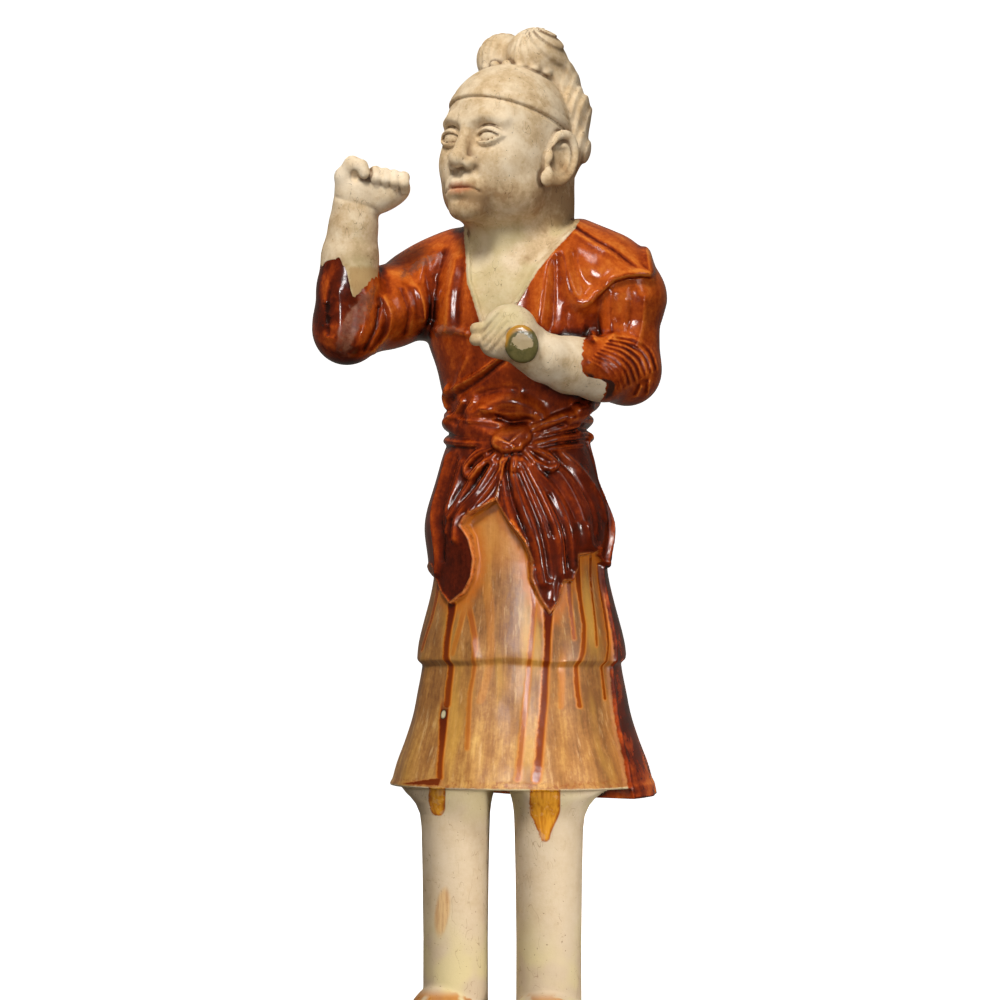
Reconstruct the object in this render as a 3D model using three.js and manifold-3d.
// Glazed pottery figure of a standing groom on a low slab, hand-built and fired as one piece.
// Millimetres, +Z up. The figure faces -Y, and its own left is +X. The origin is the middle of the underside.
import * as THREE from "three";
import { LoftGeometry } from "three/addons/geometries/LoftGeometry.js";
import { mergeVertices } from "three/addons/utils/BufferGeometryUtils.js";
import Module from "manifold-3d";

const wasm = await Module();
wasm.setup();

// Driving dimensions
const BASE = { width: 172, depth: 146, height: 18, corner: 26, bevel: 3 };
const AXIS_Y = 16; // the body's axis stands this far behind the middle of the base
const LEG = { x: 29.5, y: -28, radius: 20.4, ankleRadius: 19.6, flareRadius: 25 };
const FOOT = { splay: 16, sink: 1, heel: -22, toe: 54, sections: 6, around: 6 };
const HEM_Z = 170;
const PANEL_HEM_Z = 164; // the long back panel hangs a little lower than the skirt
const WAIST_Z = 378;
const NECK_Z = 508; // top of the body, hidden inside the neck
const KNOT = { angle: 17, z: 372 };
const HEAD = { centre: [-4.5, -15, 551], yaw: -20, pitch: -8, size: 1.03 };

const DEGREE = Math.PI / 180;
const vec = (p) => new THREE.Vector3(...p);
const clamp01 = (t) => Math.min(1, Math.max(0, t));
const smooth = (low, high, x) => {
  const t = clamp01((x - low) / (high - low));
  return t * t * (3 - 2 * t);
};
const bump = (x, width) => Math.exp(-((x / width) ** 2));

// Value of a table of [position, value, value, ...] rows at x, along a smooth curve through the rows.
function along(rows, x) {
  const i = rows.findIndex((row) => row[0] >= x);
  if (i === -1) return rows.at(-1).slice(1);
  if (i === 0) return rows[0].slice(1);
  const before = rows[Math.max(i - 2, 0)];
  const from = rows[i - 1];
  const to = rows[i];
  const after = rows[Math.min(i + 1, rows.length - 1)];
  const span = to[0] - from[0];
  const t = (x - from[0]) / span;
  return from.slice(1).map((value, k) => {
    const slopeFrom = ((to[k + 1] - before[k + 1]) / (to[0] - before[0])) * span;
    const slopeTo = ((after[k + 1] - value) / (after[0] - from[0])) * span;
    const t2 = t * t;
    const t3 = t2 * t;
    return (2 * t3 - 3 * t2 + 1) * value + (t3 - 2 * t2 + t) * slopeFrom
      + (3 * t2 - 2 * t3) * to[k + 1] + (t3 - t2) * slopeTo;
  });
}

// Solids

// A closed geometry as a solid, with its shared corners merged.
function solidOf(geometry) {
  const bare = new THREE.BufferGeometry();
  bare.setAttribute("position", geometry.getAttribute("position").clone());
  bare.setIndex(geometry.getIndex());
  const merged = mergeVertices(bare, 1e-3);
  return new wasm.Manifold(new wasm.Mesh({
    numProp: 3,
    vertProperties: merged.getAttribute("position").array,
    triVerts: new Uint32Array(merged.getIndex().array),
  }));
}

const join = (solids) => solids.reduce((sum, solid) => sum.add(solid));

function geometryOf(solid) {
  const mesh = solid.getMesh();
  const geometry = new THREE.BufferGeometry();
  geometry.setAttribute("position", new THREE.BufferAttribute(new Float32Array(mesh.vertProperties), 3));
  geometry.setIndex(new THREE.BufferAttribute(new Uint32Array(mesh.triVerts), 1));
  geometry.computeVertexNormals();
  return geometry;
}

// An ellipsoid, turned by angles in degrees about X, Y and Z.
function blob(centre, radii, turn = [0, 0, 0], around = 12, rows = 8) {
  const geometry = new THREE.SphereGeometry(1, around, rows);
  const turned = new THREE.Euler(...turn.map((angle) => angle * DEGREE));
  const matrix = new THREE.Matrix4().compose(
    vec(centre), new THREE.Quaternion().setFromEuler(turned), vec(radii));
  return solidOf(geometry.applyMatrix4(matrix));
}

// A round-ended tube through stations of [x, y, z, half width, half depth]; across is the width's direction.
function limb(stations, around = 12, across = [1, 0, 0], domes = 1) {
  const points = stations.map((s) => vec(s));
  const sections = [];
  const ring = (centre, tangent, wide, deep) => {
    const side = vec(across).addScaledVector(tangent, -vec(across).dot(tangent)).normalize();
    const up = new THREE.Vector3().crossVectors(tangent, side);
    const section = [];
    for (let j = 0; j < around; j++) {
      const angle = (j / around) * 2 * Math.PI;
      section.push(centre.clone().addScaledVector(side, wide * Math.cos(angle))
        .addScaledVector(up, deep * Math.sin(angle)));
    }
    sections.push(section);
  };
  const tangentAt = (i) => points[Math.min(i + 1, points.length - 1)].clone()
    .sub(points[Math.max(i - 1, 0)]).normalize();
  const dome = (i, outward) => {
    const [, , , wide, deep] = stations[i];
    const steps = [];
    for (let k = 1; k <= domes; k++) {
      const lift = (k / (domes + 0.35)) * (Math.PI / 2);
      steps.push([lift, Math.cos(lift)]);
    }
    if (outward < 0) steps.reverse();
    for (const [lift, shrink] of steps) {
      const tangent = tangentAt(i);
      const reach = Math.sin(lift) * Math.min(wide, deep) * outward;
      ring(points[i].clone().addScaledVector(tangent, reach), tangent, wide * shrink, deep * shrink);
    }
  };
  dome(0, -1);
  stations.forEach(([, , , wide, deep], i) => ring(points[i], tangentAt(i), wide, deep));
  dome(stations.length - 1, 1);
  return solidOf(new LoftGeometry(sections, { capStart: true, capEnd: true }));
}

// Garment

// Half width, half depth and centre of the skirt's and the chest's outline at each height
const BODY_ROWS = [
  [HEM_Z, 77, 64, 2], [182, 74, 61.5, 2], [197, 68.5, 57, 2], [211, 64, 53.5, 2], [226, 61, 51, 2],
  [241, 58, 48.5, 2], [247, 60.5, 51, 2], [255, 59.5, 50, 2], [269, 55.5, 47, 2], [283, 52.5, 44.5, 2],
  [298, 50.5, 42.5, 1], [326, 50, 41.5, 1], [348, 46, 38.5, 1], [363, 43, 37, 1], [WAIST_Z, 39, 35, 1],
  [392, 42, 36, 1], [406, 46, 38, 1], [420, 49, 40, 0], [434, 54, 42, 0], [450, 58, 43, 0], [466, 60, 42, 1],
  [480, 58, 39, 3], [492, 50, 35, 4], [500, 40, 31, 5], [NECK_Z, 28, 25, 4],
];
const ROUNDNESS = 2.25; // exponent of the outline, a little squarer than an ellipse
const COLLAR = { foot: 437, spread: 0.62, middle: -4, depth: 2.4 }; // the bare chest between the robe's edges

function bodyRadius(angle, z) {
  const [wide, deep] = along(BODY_ROWS, z);
  const turn = angle * DEGREE;
  const across = Math.abs(Math.sin(turn) / wide) ** ROUNDNESS + Math.abs(Math.cos(turn) / deep) ** ROUNDNESS;
  const bloused = 4 * bump(z - 402, 9) * bump(angle - 10, 50);
  const chestFold = 1.6 * Math.cos((angle - 34) * DEGREE * 15) * bump(z - 452, 20) * bump(angle - 40, 22);
  const opening = (z - COLLAR.foot) * COLLAR.spread - Math.abs(angle - COLLAR.middle);
  const bare = COLLAR.depth * smooth(-2, 4, opening) * smooth(COLLAR.foot - 2, COLLAR.foot + 6, z);
  return across ** (-1 / ROUNDNESS) + bloused + chestFold - bare;
}

// Point of the garment at an angle round the figure's axis, standing off the body by an amount.
function onBody(angle, z, off = 0) {
  const radius = bodyRadius(angle, z) + off;
  const centreY = along(BODY_ROWS, z)[2];
  return new THREE.Vector3(radius * Math.sin(angle * DEGREE), centreY - radius * Math.cos(angle * DEGREE), z);
}

const spaced = (from, to, steps) => Array.from({ length: steps }, (_, i) => from + ((to - from) * i) / steps);

function body() {
  const heights = [
    ...spaced(HEM_Z, 241, 4), 241, 247, ...spaced(255, WAIST_Z, 5), ...spaced(WAIST_Z, NECK_Z, 11), NECK_Z];
  const angles = [...spaced(-96, 96, 22), ...spaced(96, 264, 8)];
  const sections = heights.map((z) => angles.map((angle) => onBody(angle > 180 ? angle - 360 : angle, z)));
  return solidOf(new LoftGeometry(sections, { capStart: true, capEnd: true }));
}

// A hanging piece of cloth on the body. Its folds run from the waist to its lower edge, which is a table of
// [place along the edge, angle, height, angle of the same fold at the waist].
const CLOTH = { top: WAIST_Z + 3, sink: 6, thickness: 3, hip: 3.2, hipZ: 332, outer: 5, inner: 2 };

function cloth(edge, sectionCount, foldCount, foldDepth) {
  const sections = [];
  for (let i = 0; i <= sectionCount; i++) {
    const place = i / sectionCount;
    const [angle, low, angleAtWaist] = along(edge, place);
    const ridge = foldDepth * Math.cos(place * foldCount * 2 * Math.PI);
    const point = (t, off) => {
      const z = CLOTH.top + (low - CLOTH.top) * t;
      const at = angleAtWaist + (angle - angleAtWaist) * t ** 0.8;
      return onBody(at, Math.max(z, HEM_Z), off(z)).setZ(z);
    };
    const outside = (t) => point(t, (z) =>
      CLOTH.thickness + CLOTH.hip * bump(z - CLOTH.hipZ, 22) + ridge * smooth(0, 0.5, t));
    const inside = (t) => point(t, () => -CLOTH.sink);
    sections.push([
      ...spaced(0, 1, CLOTH.outer).map(outside), outside(1),
      ...spaced(1, 0, CLOTH.inner).map(inside), inside(0),
    ]);
  }
  return solidOf(new LoftGeometry(sections, { capStart: true, capEnd: true }));
}

const RIGHT_FLAP = [
  [0, -84, 292, -84], [0.16, -66, 296, -62], [0.34, -44, 288, -40], [0.52, -24, 275, -20],
  [0.64, -14, 290, -8], [0.78, -4, 314, 2], [0.9, 3, 340, 9], [1, 8, 358, 13],
];
const LEFT_FLAP = [
  [0, 11, 352, 14], [0.14, 17, 318, 19], [0.28, 25, 290, 24], [0.42, 36, 270, 29], [0.54, 46, 287, 36],
  [0.66, 55, 300, 46], [0.78, 65, 309, 58], [0.9, 76, 307, 72], [1, 84, 300, 84],
];
const BACK_PANEL = [[0, 80, PANEL_HEM_Z, 80], [1, 262, PANEL_HEM_Z, 262]];

const drapery = () => [
  cloth(RIGHT_FLAP, 16, 4, 1.4),
  cloth(LEFT_FLAP, 20, 5, 1.5),
  cloth(BACK_PANEL, 16, 4, 1.6),
];

// One roll of the sash: a ring of cloth round the waist, with its height and thickness given by angle.
function roll(heightAt, thickness) {
  const sections = spaced(-180, 180, 20).map((angle) => {
    const middle = onBody(angle, heightAt(angle), 1);
    const outward = onBody(angle, heightAt(angle), 2).sub(middle);
    return spaced(0, 360, 6).map((around) => middle.clone()
      .addScaledVector(outward, thickness * Math.cos(around * DEGREE))
      .add(new THREE.Vector3(0, 0, -thickness * 1.1 * Math.sin(around * DEGREE))));
  });
  return solidOf(new LoftGeometry([...sections, sections[0]]));
}

// The sash's two rolls part towards the figure's left and lie close at the back.
const sash = () => [
  roll((angle) => WAIST_Z + 6 + 3 * Math.cos((angle - 100) * DEGREE), 6.2),
  roll((angle) => WAIST_Z + 13 + 9 * bump(angle - 70, 60), 5.2),
];

// Knot of the sash: a central turn and two loops.
function knot() {
  const turn = onBody(KNOT.angle, KNOT.z + 6, 5).toArray();
  const loop = (angles, heights) => limb(
    angles.map((angle, i) => [...onBody(angle, heights[i], 6).toArray(), 4.6, 4]), 6, [0, 0, 1]);
  return [
    blob(turn, [9, 7, 7], [0, 0, KNOT.angle], 8, 6),
    loop([11, -4, -16], [372, 365, 356]),
    loop([24, 36, 44], [372, 364, 355]),
  ];
}

// Narrow band along each edge of the robe's opening.
function collar() {
  const edge = (side) => [440, 460, 480, 496].map((z) => {
    const angle = COLLAR.middle + side * (z - COLLAR.foot) * COLLAR.spread;
    return [...onBody(angle, z, 0).toArray(), 2.8, 1.8];
  });
  return [-1, 1].map((side) => limb(edge(side), 4, [1, 0, 0], 0));
}

// Legs, feet and slab

function legs() {
  const [x, y] = [LEG.x, LEG.y];
  return [-1, 1].map((side) => limb([
    [side * x, y, BASE.height + 16, LEG.ankleRadius, LEG.ankleRadius],
    [side * x, y, 70, LEG.ankleRadius, LEG.ankleRadius],
    [side * x, y, 120, LEG.radius, LEG.radius],
    [side * x, y + 0.5, 152, LEG.radius + 0.6, LEG.radius + 0.6],
    [side * x, y + 2, 163, LEG.radius + 2.4, LEG.radius + 2.4],
    [side * x, y + 5, HEM_Z + 4, LEG.flareRadius, LEG.flareRadius],
  ], 12, [1, 0, 0], 0));
}

// Half width and height of a shoe at each distance in front of the ankle
const SHOE_ROWS = [
  [FOOT.heel, 8, 12], [-18, 15, 21], [-6, 20.5, 31], [10, 20.5, 31], [24, 20, 24], [38, 18.5, 18.5],
  [48, 13, 16], [FOOT.toe, 5, 12],
];

function shoe(side) {
  const sections = [];
  for (let i = 0; i <= FOOT.sections; i++) {
    const s = FOOT.heel + ((FOOT.toe - FOOT.heel) * i) / FOOT.sections;
    const [wide, tall] = along(SHOE_ROWS, s);
    const section = [];
    for (let k = 0; k <= FOOT.around; k++) {
      const angle = (k / FOOT.around) * Math.PI;
      section.push(new THREE.Vector3(
        wide * Math.cos(angle), -s, BASE.height - FOOT.sink + tall * Math.sin(angle) ** 0.8));
    }
    sections.push(section);
  }
  const geometry = new LoftGeometry(sections, { capStart: true, capEnd: true });
  const matrix = new THREE.Matrix4().makeRotationZ(side * FOOT.splay * DEGREE);
  matrix.setPosition(side * LEG.x, LEG.y, 0);
  return solidOf(geometry.applyMatrix4(matrix));
}

function slab() {
  const { width, depth, height, corner, bevel } = BASE;
  const [w, d] = [width / 2 - bevel, depth / 2 - bevel];
  const outline = new THREE.Shape();
  outline.moveTo(-w + corner, -d);
  outline.lineTo(w - corner, -d);
  outline.absarc(w - corner, -d + corner, corner, -Math.PI / 2, 0);
  outline.absarc(w - corner, d - corner, corner, 0, Math.PI / 2);
  outline.absarc(-w + corner, d - corner, corner, Math.PI / 2, Math.PI);
  outline.absarc(-w + corner, -d + corner, corner, Math.PI, 1.5 * Math.PI);
  const geometry = new THREE.ExtrudeGeometry(outline, {
    depth: height - 2 * bevel, bevelThickness: bevel, bevelSize: bevel, bevelSegments: 1, curveSegments: 3 });
  return solidOf(geometry.translate(0, -AXIS_Y, bevel));
}

// Arms and hands

function rightArm() {
  const upper = [
    [-40, 4, 470, 27, 27], [-56, -2, 467, 27, 26], [-74, -28, 457, 24, 24], [-88, -52, 447, 21, 21],
  ];
  const fore = [
    [-89.5, -56, 444, 20, 19.5], [-88, -57, 462, 19, 18.5], [-86, -58.5, 480, 16.5, 16.5],
    [-83.5, -59, 500, 14.6, 14.6], [-81, -59, 512, 14, 13],
  ];
  return [limb(upper, 12, [0, 0, 1]), limb(fore, 12)];
}

function leftArm() {
  const upper = [
    [46, 3, 472, 25, 26], [62, 2, 466, 27, 27], [66, 1, 448, 22, 23], [69, 1, 430, 21, 21],
    [71, 0, 419, 20, 20],
  ];
  const fore = [
    [71, 0, 418, 20, 20], [60, -22, 419, 18, 18.5], [47, -41, 422, 15.5, 16], [36, -58, 427, 13.6, 14.4],
    [31, -66, 432, 13, 14],
  ];
  return [limb(upper, 12), limb(fore, 12, [0, 0, 1])];
}

// Shoulders under the robe, and the short open-edged sleeve over the left upper arm.
function shoulders() {
  return [
    limb([[-72, -4, 467, 23, 25], [-56, 0, 470, 27, 29], [-37, 4, 475, 30, 33], [0, 5, 479, 30, 35],
      [30, 5, 479, 30, 35], [54, 3, 476, 28, 32], [66, 2, 467, 25, 28]], 12, [0, 0, 1]),
    limb([[40, 3, 492, 16, 20], [54, 2, 481, 26, 27], [65, 1, 463, 29, 30]], 12, [1, 0, 0], 0),
  ];
}

// Raised right fist: the heel of the hand, four curled fingers in a row and the bent thumb.
function rightHand() {
  const hand = [
    blob([-71, -58, 524], [22, 13, 13], [0, 0, 20], 10, 6),
    blob([-86, -60, 530], [10, 11, 16], [0, 0, 20], 8, 5),
  ];
  for (let k = 0; k < 4; k++) {
    const [x, y, z] = [-67 + 6 * k, -69 + 2.4 * k, 533 - 1.2 * k];
    hand.push(limb([
      [x, y + 6, z + 2.5, 3.4, 4.5], [x, y - 1, z, 3.4, 4.2], [x, y - 1, z - 7, 3.2, 4]], 6, [1, 0.4, 0]));
  }
  hand.push(limb([
    [-89, -66, 527, 5.5, 5.5], [-89, -68, 539, 5, 5], [-85, -70, 542, 4.6, 4.6], [-82, -71, 535, 4, 4]],
  6, [1, 0.4, 0]));
  return hand;
}

// Left fist in front of the chest, closed round the stub of something lost, with the thumb at its far end.
function leftHand() {
  const hand = [
    blob([25, -74, 441], [18, 15, 15], [0, 25, 25], 12, 7),
    limb([[31, -80, 434, 11, 11], [33, -90, 431, 11, 11]], 12, [1, 0, 0], 0),
    limb([[8, -68, 442, 4.5, 4.5], [2, -69, 443, 4.5, 4.5], [1, -71, 437, 4, 4]], 6, [0, 0, 1]),
  ];
  for (let k = 0; k < 4; k++) {
    const step = k * 5;
    hand.push(limb([
      [18 + step, -82 - k * 1.2, 450 - k * 3, 3.6, 3.6], [11 + step, -84 - k * 1.2, 441 - k * 2.4, 3.6, 3.6],
      [13 + step, -82 - k * 1.2, 432 - k * 1.5, 3.4, 3.4]], 6, [0, 1, 0]));
  }
  return hand;
}

// Head, in its own frame with the face towards -Y, then turned to the figure's right and tipped back

function face() {
  const lip = (half, z, thick) => limb([
    [-half, -33.5, z, 1.6, 1.6], [0, -37.5, z, thick, thick], [half, -33.5, z, 1.6, 1.6]], 6, [0, 0, 1]);
  const parts = [
    blob([0, 4, 9], [35, 41, 39], [0, 0, 0], 14, 7),
    blob([0, -8, -14], [31, 31, 34], [0, 0, 0], 12, 8),
    blob([0, -29, -40], [12, 9, 8], [0, 0, 0], 8, 6),
    limb([[0, -37, 6, 3.6, 3.6], [0, -41, -6, 4.4, 4.2], [0, -42, -15, 6.4, 5]], 6, [1, 0, 0]),
    lip(9.5, -29, 2.6),
    lip(8, -32.5, 2.8),
  ];
  for (const side of [-1, 1]) {
    parts.push(limb([[side * 5, -35, 9, 2.6, 2.6], [side * 14, -33, 12, 2.6, 2.6], [side * 23, -26, 9, 2, 2]],
      6, [0, 0, 1]));
    parts.push(blob([side * 14, -29.5, 0.5], [7, 5.5, 4.2], [0, 0, 0], 8, 4));
  }
  return parts;
}

const ear = (side) => blob([side * 35, 6, -8], [4.5, 10.5, 17], [0, side * 10, side * -20], 8, 6);

// Close cap with a stepped edge across the brow.
function cap() {
  const under = new THREE.BoxGeometry(140, 140, 80);
  under.applyMatrix4(new THREE.Matrix4().makeRotationX(-14 * DEGREE).setPosition(0, -10, -19));
  return blob([0, 4, 10], [36.8, 42.8, 40.2], [0, 0, 0], 14, 7).subtract(solidOf(under));
}

// Hair drawn up into two lobes, with rolls from them behind the ears to a plait at the nape.
const PLAIT = { lobes: 4, from: 52, step: 25, reach: 39 };

function hair() {
  const parts = [
    blob([-14, 11, 53], [16, 18, 16], [0, -8, 0], 10, 7),
    blob([13, 17, 54], [18, 21, 19], [0, 8, 0], 10, 7),
    blob([0, 32, 40], [20, 16, 17], [0, 0, 0], 8, 6),
  ];
  for (let k = 0; k < PLAIT.lobes; k++) {
    const swing = PLAIT.from + k * PLAIT.step;
    const side = k % 2 ? 4 : -4;
    const back = 5 + PLAIT.reach * Math.sin(swing * DEGREE);
    const up = 8 + PLAIT.reach * Math.cos(swing * DEGREE);
    parts.push(blob([side, back, up], [12, 10, 8], [-swing, 0, side * 4], 6, 4));
  }
  for (const side of [-1, 1]) {
    parts.push(limb([
      [side * 18, 28, 42, 11, 11], [side * 27, 31, 24, 12, 12], [side * 26, 31, 4, 11, 11],
      [side * 16, 32, -14, 8, 8]], 6));
  }
  return parts;
}

function placedHead() {
  const turn = new THREE.Matrix4().makeRotationZ(HEAD.yaw * DEGREE)
    .multiply(new THREE.Matrix4().makeRotationX(HEAD.pitch * DEGREE))
    .scale(new THREE.Vector3().setScalar(HEAD.size)).setPosition(...HEAD.centre);
  return join([...face(), cap(), ear(-1), ear(1), ...hair()]).transform(turn.elements);
}

function neck() {
  const stations = [[0, 4, 484, 38, 33], [0, 1, 500, 31, 29], [-1, -3, 516, 29, 28], [-2, -7, 534, 28, 28]];
  return limb(stations, 12, [1, 0, 0], 0);
}

const figure = join([
  slab(), shoe(-1), shoe(1), ...legs(), body(), ...drapery(), ...sash(), ...knot(), ...collar(),
  ...shoulders(), ...rightArm(), ...leftArm(), ...rightHand(), ...leftHand(), neck(), placedHead(),
]);

const clay = new THREE.MeshStandardMaterial({ color: 0x9c4a1c, roughness: 0.3, metalness: 0 });
const mesh = new THREE.Mesh(geometryOf(figure), clay);
mesh.name = "groom_figure";
mesh.position.y = AXIS_Y;

const part = new THREE.Group();
part.add(mesh);
export default part;
